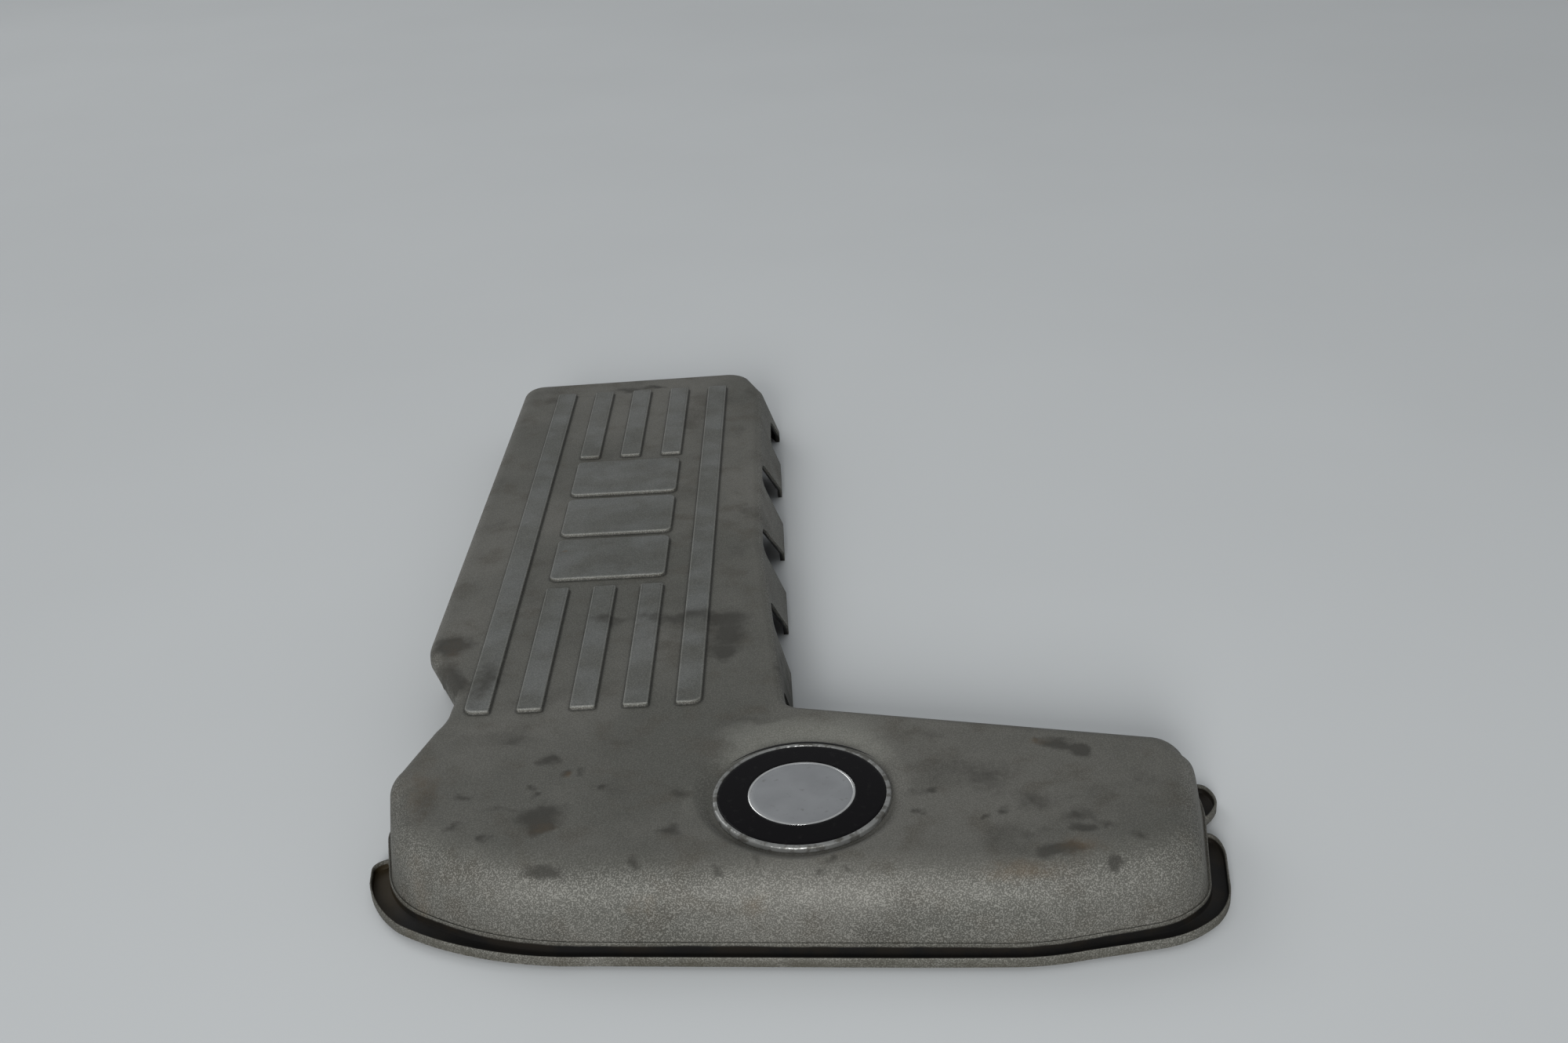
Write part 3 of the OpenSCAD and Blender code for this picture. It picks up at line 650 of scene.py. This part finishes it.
a, edge_r, edge_z = round_badge(ring(-outer_inset[-1], outer_z[-1]), brim, top_z)
slope = [turn_ring(a, edge_r + (seat_r - edge_r) * u, edge_z - (edge_z - seat_z) * u * u * (3 - 2 * u))
         for u in np.linspace(0, 1, 15)] + [turn_ring(a, seat_r - 1, seat_z)]
shell.grid(slope[::-1], 1.0, flip=True)
for side in (-1, 1):
    hole = [circle(pin_hole_r, z, (side * pin_x, 0), 24) for z in (seat_z, seat_z - 0.3, pad_z + 0.3, pad_z)]
    shell.grid(hole, [1, 0.3, 0, 0])
a, edge_r, edge_z = round_badge(ring(-inner_inset[-1], inner_z[-1]), pad_brim, ceiling)
shell.grid([turn_ring(a, edge_r, edge_z)] + [turn_ring(a, pad_r + out, z) for out, z in (
    (0.3, ceiling - 0.5), (0, ceiling - 1.0), (0, pad_z + 0.4), (-0.4, pad_z), (-1, pad_z))])

# Stepped cups under the ceiling, one for each grommet
cups = np.array([[-70, 455], [-152, 250], [-150, 8], [138, -8.0]])
cup_z, shelf_z, cup_wall, grommet_r, neck_r = 12.0, 26.0, 2.5, 10.5, 7.0
cup_r, neck_out, shelf_top = grommet_r + cup_wall, neck_r + cup_wall, shelf_z + cup_wall
cup_section = [
    [neck_out + 1.2, ceiling], [neck_out + 0.3, ceiling - 0.3], [neck_out, ceiling - 1.2],
    [neck_out, shelf_top + 1], [neck_out + 0.8, shelf_top], [cup_r - 0.8, shelf_top],
    [cup_r, shelf_top - 0.8], [cup_r, cup_z + 0.3], [cup_r - 0.3, cup_z], [grommet_r + 0.3, cup_z],
    [grommet_r, cup_z + 0.3], [grommet_r, shelf_z], [neck_r + 0.3, shelf_z], [neck_r, shelf_z + 0.3],
    [neck_r, ceiling - 0.5], [neck_r - 0.5, ceiling]]
for cup in cups:
    shell.grid([circle(r, z, cup, 48) for r, z in cup_section])

# Five three cornered stiffeners between the left wall of the arm and the ceiling. They follow the
# flare of the wall, and reach a little way into it and into the ceiling.
stiffener_t, stiffener_l, stiffener_h, stiffener_in = 2.2, 14, 20, 3.4
stiffener_count, stiffener_near, stiffener_far = 5, 184, 496
arm_left, arm_far, arm_flare, flare_l = -199, 536, 2.0, 387
stiffener_top = ceiling + 0.6
for y in np.linspace(stiffener_near, stiffener_far, stiffener_count) - stiffener_t / 2:
    x = arm_left - arm_flare * (arm_far - y - stiffener_t / 2) / flare_l + stiffener_in
    shell.prism([[x + 1, y, stiffener_top - 3], [x + 4, y, stiffener_top],
                 [x + stiffener_l, y, stiffener_top], [x, y, stiffener_top - stiffener_h]],
                [0, stiffener_t, 0])

cover = shell.close("cover", (top_z, top_z + bar_h, seat_z, ceiling, pad_z))

# Worn paint: a warm grey metallic coat with a sandy grain, stained by oil and dirt. Each stain is a soft
# ellipse whose edge is broken up by noise: x, y, half its width, half its length, turn in degrees, strength.
oil_stains = np.array([
    [-120, 36, 8, 7, 15, 1.0], [-112, 25, 6, 4, 40, 0.9], [-119, -8, 17, 13, 0, 1.1],
    [-20, 62, 26, 7, -5, 0.35], [-90, 48, 22, 6, 5, 0.3], [60, 44, 24, 5, -6, 0.35],
    [155, 0, 10, 16, 0, 0.35], [100, -38, 40, 9, 3, 0.35], [-140, -2, 15, 3, -8, 0.5],
    [-119, -18, 7, 9, 0, 0.8], [-157, -13, 8, 5, 25, 0.7], [-142, -23, 5, 5, 0, 0.8],
    [-113, -45.5, 15, 4.5, -6, 1.0], [-60, -24, 8, 6, 10, 0.8], [85, 7, 24, 22, 0, 0.55],
    [104, -14, 15, 12, 0, 0.6], [122, -26, 12, 9, 20, 0.7], [133, -34, 9, 3, -40, 0.6],
    [121, 29, 17, 8, -22, 0.9], [131, 22, 8, 6, -30, 0.9], [131, -58, 6, 4, 0, 0.8],
    [112, -52, 34, 6, 5, 0.5], [110, -50, 14, 7, 8, 0.9], [124, -37, 10, 5, -10, 0.8],
    [134, -55, 6, 4, 0, 0.9], [-158, 9, 7, 5, 0, 0.7], [-5, 128, 9, 48, 0, 0.9],
    [-163, 104, 9, 30, 0, 0.6], [52, -4, 10, 6, 10, 0.45], [-173, 5, 9, 40, 12, 0.35],
    [-138, 56, 12, 8, 0, 0.45], [-103, 25, 4, 4, 0, 0.6], [-125, 15, 4, 4, 0, 0.7],
    [-123, 9, 4, 4, 0, 0.7], [-92, 12, 4, 4, 0, 0.8], [-73, -43.5, 4, 4, 0, 0.8],
    [-56, 4, 7, 6, 20, 0.7], [58, -4, 4, 4, 0, 0.7], [51, -18, 4, 4, 0, 0.7],
    [12, -48, 4, 3.5, 0, 0.7], [9, -54, 4, 3.5, 0, 0.6], [19, -54, 4, 3.5, 0, 0.6],
    [-20, -46, 4, 4, 0, 0.6], [-37, -51, 4, 4, 0, 0.7], [89, -21, 5, 5, 0, 0.8],
    [81, -25, 4, 4, 0, 0.7], [-145, -60, 3.4, 3.4, 0, 1.6], [147, -44, 6, 4, 0, 0.7],
    [-65, 168, 52, 10, 0, 0.7], [-38, 150, 17, 34, 0, 0.9], [-40, 128, 10, 10, 0, 0.7],
    [-105, 168, 12, 9, 0, 0.5], [-186, 150, 17, 15, 0, 1.2], [-183, 122, 10, 20, 30, 1.0],
    [-175, 108, 8, 12, 0, 0.6], [-156, 118, 10, 26, 0, 0.45], [-119, 504, 17, 7, 5, 0.8],
    [-99, 507, 12, 5, 0, 0.9], [-172, 492, 12, 12, 0, 0.5], [-32, 488, 9, 20, 0, 0.5],
    [-38, 420, 9, 18, 0, 0.35], [-32, 300, 12, 22, 0, 0.35], [-34, 245, 13, 20, 0, 0.35],
    [-150, 200, 14, 60, 8, 0.25]])
# Painted highlight on the slope behind the badge and beside it, in the same columns as the stains
badge_slope_highlight = np.array([
    [0, 52, 50, 15, 0, 1.3], [-30, 38, 22, 12, 45, 0.7], [34, 36, 22, 12, -45, 0.6],
    [-52, -4, 9, 30, 0, 0.3]])
rust_tints = np.array([
    [-118, -17, 9, 8, 0, 0.5], [-111, 24, 5, 4, 0, 0.8], [-139, -54, 12, 10, 0, 0.6],
    [-71, -62, 13, 10, 0, 0.8], [-22, -60, 10, 9, 0, 0.55], [4, -68, 9, 8, 0, 0.6],
    [-175, -33, 10, 16, 0, 0.6], [120, -48, 16, 10, 0, 0.7], [-184, 143, 14, 30, 0, 0.35],
    [-178, 20, 12, 40, 10, 0.5], [94, -60, 28, 7, 0, 0.7], [112, 32, 9, 5, 0, 0.6],
    [-137, 252, 1.5, 1.5, 0, 3.0]])
front_roll, front_run, slope_y, right_through = 20, 22.2, -40, 120.0


def front_height(x, y):
    """Height of the skin near the front edge: top - roll + root of (roll squared - (run - inset) squared)."""
    inset = np.hypot(*(base - [x, y]).T).min()
    short = np.clip(front_run - inset, 0, front_roll - 0.4)
    return top_z - front_roll + np.sqrt(front_roll ** 2 - short ** 2)


def ellipses(finish, table, at):
    """The sum over the table of strength times (1 minus the distance in units of the ellipse), where
    positive. On the front slope each one is as high as it is long, elsewhere it goes right through."""
    total = 0.0
    for x, y, rx, ry, turn, strength in table.tolist():
        z = front_height(x, y) if y < slope_y else top_z
        rz = right_through if z > top_z - 0.5 else ry + 1
        shrink = finish.nodes.new("ShaderNodeMapping")
        shrink.vector_type = "TEXTURE"
        finish.put(shrink.inputs["Vector"], at)
        shrink.inputs["Location"].default_value = placed([x, y, z])
        shrink.inputs["Rotation"].default_value[2] = np.radians(turn)
        shrink.inputs["Scale"].default_value = (rx * MM, ry * MM, rz * MM)
        ball = finish.nodes.new("ShaderNodeTexGradient")
        ball.gradient_type = "SPHERICAL"
        finish.put(ball.inputs["Vector"], shrink.outputs["Vector"])
        total = finish.scaled(ball.outputs["Fac"], strength, total)
    return total


paint = Finish("worn_paint")


def read(title):
    """The value of one of the mesh's own attributes."""
    node = paint.nodes.new("ShaderNodeAttribute")
    node.attribute_name = title
    return node.outputs["Fac"]


def axes_of(vector):
    """The x, y and z of a vector."""
    node = paint.nodes.new("ShaderNodeSeparateXYZ")
    paint.put(node.inputs[0], vector)
    return node.outputs


across, _, height = axes_of(paint.place)
glint_steepness = paint.step(axes_of(paint.nodes.new("ShaderNodeNewGeometry").outputs["Normal"])[2], 0.97, 0.72)

# The place pushed about by a coarse noise, by up to 7 mm either way, for ragged stains
wave = 14 * MM
centred = paint.nodes.new("ShaderNodeVectorMath")
centred.operation = "SUBTRACT"
paint.put(centred.inputs[0], paint.place)
centred.inputs[1].default_value = (wave / 2, wave / 2, 0.0)
shifted = paint.nodes.new("ShaderNodeVectorMath")
shifted.operation = "MULTIPLY_ADD"
paint.put(shifted.inputs[0], paint.noise(90.0, 4.0, colour=True))
shifted.inputs[1].default_value = (wave, wave, 0.0)
paint.put(shifted.inputs[2], centred.outputs[0])
ragged = shifted.outputs[0]
broken = paint.noise(260.0, 4.0)


def ellipse_mask(table, share, low, high):
    """How far a place is covered: the table's ellipses and a share of noise, through a soft step."""
    return paint.step(paint.scaled(broken, share, ellipses(paint, table, ragged)), low, high)


oil = ellipse_mask(oil_stains, 0.5, 0.32, 1.0)
rust = ellipse_mask(rust_tints, 0.5, 0.3, 1.1)
# The painted highlight behind the badge
painted_highlight = ellipse_mask(badge_slope_highlight, 0.3, 0.2, 0.9)
cloud = paint.noise(11.0, 5.0)
patch = paint.noise(55.0, 4.0)
mottle = paint.noise(26.0, 6.0, ragged)
grain = paint.noise(1600.0, 1.5)

# The coat, its dull patches, the paler tops of the bars, and a painted highlight on the slope behind the
# badge
tone = paint.mix(paint.step(cloud, 0.35, 0.65), linear(76, 76, 71), linear(91, 90, 85))
tone = paint.mix(paint.step(patch, 0.5, 0.72, 0.0, 0.6), tone, linear(72, 69, 62))
tone = paint.mix(paint.step(mottle, 0.53, 0.72, 0.0, 0.5), tone, linear(60, 59, 54))
bar_top = paint.step(height, (top_z + 1.2) * MM, (top_z + 1.9) * MM, 0.0, 0.55)
bar_patch = paint.step(paint.noise(38.0, 3.0), 0.35, 0.65)
tone = paint.mix(bar_top, tone, paint.mix(bar_patch, linear(78, 80, 77), linear(98, 101, 101)))
tone = paint.lay(tone, painted_highlight, 0.75, linear(108, 108, 102))

# The sandy grain, whose bright specks are painted glints, more of them where the wall is steep; stains,
# painted highlights on edges and painted shade in creases lie over it
speck_and_glint = paint.step(grain, 0.36, 0.64, -1.0, 1.0)
tone = paint.lay(tone, paint.side_of(speck_and_glint, 1.0), paint.scaled(glint_steepness, 0.07, 0.03), (1.0, 0.98, 0.9, 1.0))
tone = paint.lay(tone, paint.side_of(speck_and_glint, -1.0), 0.16, linear(46, 45, 40))
tone = paint.lay(tone, oil, 0.8, linear(50, 49, 45))
tone = paint.lay(tone, rust, 0.34, linear(92, 72, 46))
# Painted highlight on the rounded top edges of the bars and blocks, and painted shade in the creases at their
# feet
edge_light_and_shade = read("wear")
tone = paint.lay(tone, paint.side_of(edge_light_and_shade, 1.0), 0.22, linear(150, 150, 144))
tone = paint.lay(tone, paint.side_of(edge_light_and_shade, -1.0), 0.7, linear(28, 28, 25))
# Painted shade low down on the walls, darker towards the foot and broken up by noise
low_down = paint.step(height, 11 * MM, 3 * MM)
foot_shade = paint.product(low_down, paint.step(paint.noise(45.0, 4.0), 0.3, 0.7, 0.25, 0.9))
tone = paint.lay(tone, foot_shade, 0.8, linear(56, 53, 43))

# Bare plastic, with dark sludge and painted shade low down in the gutter, browner at its left end
left_low, left_high = (float(placed([x, 0, 0])[0]) for x in (-178, -196))
sludge_and_shade = paint.mix(paint.step(paint.noise(70.0, 4.0), 0.42, 0.62), linear(9, 8, 7), linear(19, 15, 9))
sludge_and_shade = paint.mix(paint.step(across, left_low, left_high, 0.0, 0.8), sludge_and_shade, linear(38, 30, 13))
plastic = paint.mix(paint.step(height, 6 * MM, 9 * MM), sludge_and_shade, linear(27, 27, 27))
uneven = paint.math("SUBTRACT", patch, 0.5)
bare = paint.step(paint.scaled(uneven, 0.6, read("paint")), 0.6, 0.3)
tone = paint.mix(bare, tone, plastic)

rough = paint.scaled(oil, 0.12, paint.scaled(uneven, 0.2, 0.66))
ripple = paint.bump(grain, 0.22, 0.2, paint.bump(patch, 0.10, 0.6))
metal = paint.product(paint.math("SUBTRACT", 1.0, bare), paint.scaled(oil, -0.1, 0.25))
cover.data.materials.append(paint.finish(Base_Color=tone, Roughness=rough, Metallic=metal, Normal=ripple,
                                         Specular_IOR_Level=0.25))
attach(cover, "root")
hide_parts("cover_shell")


# Badge carrier: a shallow pressed dish of plated metal, its rim rolled over and its two pins pushed
# through the seat. The plating is dulled and pitted.
def turned(section, centre=(0, 0), n=96):
    """A profile of radius and height carried round a vertical axis; a radius of 0 closes at a pole."""
    stock = Stock()
    stock.grid([circle(r, z, centre, n) for r, z in section])
    return stock


badge_r, rim_round, rim_inner, rim_h, dish_t = 41.0, 1.0, 38.6, 3.3, 1.4
pin_r, pin_l = 2.0, 7.0
rim_turn = np.radians(np.linspace(0, 90, 8))
rim_top = seat_z + rim_h
carrier_section = np.vstack([
    [[0, seat_z], [39.5, seat_z], [40.3, seat_z + 0.12], [40.85, seat_z + 0.5], [badge_r, seat_z + 1.1]],
    np.column_stack([badge_r - rim_round * (1 - np.cos(rim_turn)),
                     rim_top - rim_round * (1 - np.sin(rim_turn))]),
    [[rim_inner + 0.6, rim_top + 0.05], [rim_inner + 0.2, rim_top - 0.05], [rim_inner, rim_top - 0.35],
     [rim_inner, seat_z + dish_t], [0, seat_z + dish_t]]])
pin_section = [[0, seat_z - pin_l], [pin_r - 0.6, seat_z - pin_l], [pin_r, seat_z - pin_l + 0.8],
               [pin_r, seat_z - 0.4], [pin_r, seat_z + 0.6], [0, seat_z + 0.6]]
dish = turned(carrier_section)
for side in (-1, 1):
    dish.grid([circle(r, z, (side * pin_x, 0), 24) for r, z in pin_section])
carrier = dish.close("badge_rim")

plating = Finish("dulled_plating")
pits = plating.step(plating.noise(230.0, 4.0), 0.47, 0.62)
tone = plating.mix(plating.noise(60.0, 3.0), linear(96, 97, 95), linear(152, 153, 151))
tone = plating.lay(tone, pits, 0.7, linear(62, 59, 52))
rough = plating.scaled(pits, 0.2, plating.scaled(plating.noise(1500.0, 2.0), 0.12, 0.26))
dents = plating.bump(plating.noise(330.0, 2.0), 0.6, 0.8)
carrier.data.materials.append(plating.finish(Base_Color=tone, Metallic=0.6, Roughness=rough, Normal=dents))
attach(carrier, "root")
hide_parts("badge_carrier")


# Badge face: a gloss black moulded ring with a thin bright hoop round its plain centre, which is
# turned and satin silver. It is slightly crowned and sits in the dish, flush with the rolled rim.
face_r, face_z, centre_r = 38.5, seat_z + dish_t, 23.5
face_t, crown_h = 1.9, 0.5


def crown(r):
    """Height of the crowned top: the crown's height times (1 - (r / face_r) squared) above the edge."""
    return face_z + face_t + crown_h * (1 - (np.asarray(r) / face_r) ** 2)


ring_r = np.linspace(face_r - 0.5, centre_r + 1.3, 14)
hoop_turn = np.radians(np.linspace(0, 180, 9))
hoop_mid, hoop_half, hoop_h, hoop_sunk = centre_r + 0.45, 0.6, 0.22, 0.16
centre_rows = np.linspace(centre_r - 0.55, 0.0, 16)
face_section = np.vstack([
    [[0, face_z], [face_r, face_z], [face_r, face_z + 1.5], [face_r - 0.12, crown(face_r) - 0.1]],
    np.column_stack([ring_r, crown(ring_r)]), [[centre_r + 1.08, crown(centre_r) - 0.14]],
    np.column_stack([hoop_mid + hoop_half * np.cos(hoop_turn),
                     crown(centre_r) - hoop_sunk + hoop_h * np.sin(hoop_turn)]),
    [[centre_r - 0.18, crown(centre_r) - 0.2]],
    np.column_stack([centre_rows, crown(centre_rows) - 0.12])])
face = turned(face_section, n=128).close("badge")

black = Finish("gloss_black")
dust = black.step(black.noise(240.0, 5.0), 0.56, 0.78)
tone = black.lay(linear(7, 6, 8), dust, 0.06, linear(70, 68, 63))
rough = black.scaled(dust, 0.35, black.scaled(black.noise(30.0, 3.0), 0.10, 0.13))
face.data.materials.append(black.finish(Base_Color=tone, Roughness=rough, Specular_IOR_Level=0.25, IOR=1.22,
                                        Normal=black.bump(black.noise(900.0, 2.0), 0.05, 0.2)))
hoop = Finish("bright_hoop")
tone = hoop.mix(hoop.noise(200.0, 3.0), linear(170, 171, 170), linear(214, 215, 214))
rough = hoop.scaled(hoop.noise(700.0), 0.2, 0.12)
face.data.materials.append(hoop.finish(Base_Color=tone, Metallic=1.0, Roughness=rough))
silver = Finish("turned_silver")
centre_frame = silver.nodes.new("ShaderNodeMapping")
silver.put(centre_frame.inputs["Vector"], silver.place)
centre_frame.inputs["Location"].default_value = -placed([0, 0, 0])
turning = silver.nodes.new("ShaderNodeTexWave")
turning.wave_type = "RINGS"
turning.rings_direction = "Z"
silver.put(turning.inputs["Vector"], centre_frame.outputs["Vector"])
for title, value in (("Scale", 520.0), ("Distortion", 0.6), ("Detail", 2.0), ("Detail Scale", 4.0)):
    turning.inputs[title].default_value = value
smudge = silver.noise(70.0, 4.0)
tone = silver.mix(smudge, linear(128, 130, 132), linear(150, 152, 154))
tone = silver.mix(silver.step(silver.noise(330.0, 4.0), 0.6, 0.75, 0.0, 0.35), tone, linear(92, 90, 85))
rough = silver.scaled(smudge, 0.16, 0.34)
grooves = silver.bump(turning.outputs["Fac"], 0.12, 0.1)
face.data.materials.append(silver.finish(Base_Color=tone, Metallic=0.75, Roughness=rough, Normal=grooves))

# The three materials in that order, told apart by each face's distance from the centre
middle = np.empty(len(face.data.polygons) * 3)
face.data.polygons.foreach_get("center", middle)
middle = (middle.reshape(-1, 3) - badge_centre) / MM
face_at = np.hypot(middle[:, 0], middle[:, 1])
on_top = middle[:, 2] > face_z + 1.4
in_hoop, in_centre = on_top & (face_at < centre_r + 1.1), on_top & (face_at < centre_r - 0.1)
face.data.polygons.foreach_set("material_index", (in_hoop.astype(np.int32) + in_centre).astype(np.int32))
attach(face, "root")
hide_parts("badge_face")


# Grommets: four moulded rubber sleeves pressed into the cups from below, each with a soft flange and
# a blind bore that snaps over a ball stud.
bore_r, flange_r, flange_t, sleeve_l, bore_depth = 5.0, 12.5, 1.5, 14.0, 9.5
flange_z, sleeve_top, bore_top = cup_z - flange_t, cup_z + sleeve_l, cup_z + bore_depth
sleeve_section = [
    [bore_r, flange_z + 0.5], [bore_r + 0.2, flange_z + 0.15], [bore_r + 0.6, flange_z],
    [flange_r - 0.5, flange_z], [flange_r - 0.15, flange_z + 0.15], [flange_r, flange_z + 0.5],
    [flange_r, cup_z - 0.3], [flange_r - 0.3, cup_z], [grommet_r, cup_z], [grommet_r, sleeve_top - 0.6],
    [grommet_r - 0.6, sleeve_top], [0, sleeve_top], [0, bore_top], [bore_r - 0.8, bore_top],
    [bore_r, bore_top - 0.8], [bore_r, flange_z + 0.5]]
rubber = Finish("grommet_rubber")
tone = rubber.mix(rubber.noise(120.0, 4.0), linear(24, 24, 24), linear(38, 37, 35))
rubber.finish(Base_Color=tone, Roughness=rubber.scaled(rubber.noise(300.0), 0.2, 0.5),
              Normal=rubber.bump(rubber.noise(900.0, 3.0), 0.2, 0.2))
for number, cup in enumerate(cups, 1):
    sleeve = turned(sleeve_section, cup, 64).close(f"grommet_sleeve_{number}")
    sleeve.data.materials.append(rubber.material)
    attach(sleeve, "root")
    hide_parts(f"grommet_{number}")


# Foam mats: three mats of dark open cell foam, die cut and stuck to the ceiling to damp the noise.
# Their cut edges are slightly pulled in at the middle, and each is holed round the necks of the cups.
foam_low, foam_top, foam_round, foam_hole_r = 31.2, 39.15, 1.6, 11.5
foam = Finish("open_cell_foam")
cells = foam.nodes.new("ShaderNodeTexVoronoi")
cells.inputs["Scale"].default_value = 620.0
foam.put(cells.inputs["Vector"], foam.place)
tone = foam.mix(foam.step(cells.outputs["Distance"], 0.15, 0.6), linear(34, 34, 36), linear(62, 62, 64))
tone = foam.mix(foam.step(foam.noise(14.0, 4.0), 0.4, 0.7, 0.0, 0.5), tone, linear(52, 48, 42))
pores = foam.bump(cells.outputs["Distance"], 0.7, 0.9, foam.bump(foam.noise(60.0, 3.0), 0.4, 1.5))
foam.finish(Base_Color=tone, Roughness=0.92, Sheen_Weight=0.15, Normal=pores)
edge_t = np.linspace(0, np.pi / 2, 6)
foam_edge = np.vstack([
    [[-9.0, foam_low]],
    np.column_stack([-foam_round * (1 - np.sin(edge_t)), foam_low + foam_round * (1 - np.cos(edge_t))]),
    [[-0.35, (foam_low + foam_top) / 2], [-0.05, foam_top - 0.8], [-0.4, foam_top - 0.2], [-1.0, foam_top]]])
hole_edge = foam_edge[[1, 3, 6, 7, 8, 9, 10]]
mats = {"foam_arm": ([-170.4, 94, -36, 500], [8, 8, 24, 8]),
        "foam_left": ([-166.5, -18, -55.9, 66], [24, 8, 8, 24]),
        "foam_right": ([55.9, -36, 152, 18], [8, 24, 8, 8])}
for node, (sides, radii) in mats.items():
    mat = Stock()
    mat.grid(level_rows(*rounded_rectangle(*sides, radii, steps=8), foam_edge))
    for x, y in cups:
        if sides[0] < x < sides[2] and sides[1] < y < sides[3]:
            mat.grid([circle(foam_hole_r - out, z, (x, y), 48) for out, z in hole_edge], flip=True)
    mat = mat.close(node + "_mat", (foam_low, foam_top))
    mat.data.materials.append(foam.material)
    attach(mat, "root")
    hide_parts(node)
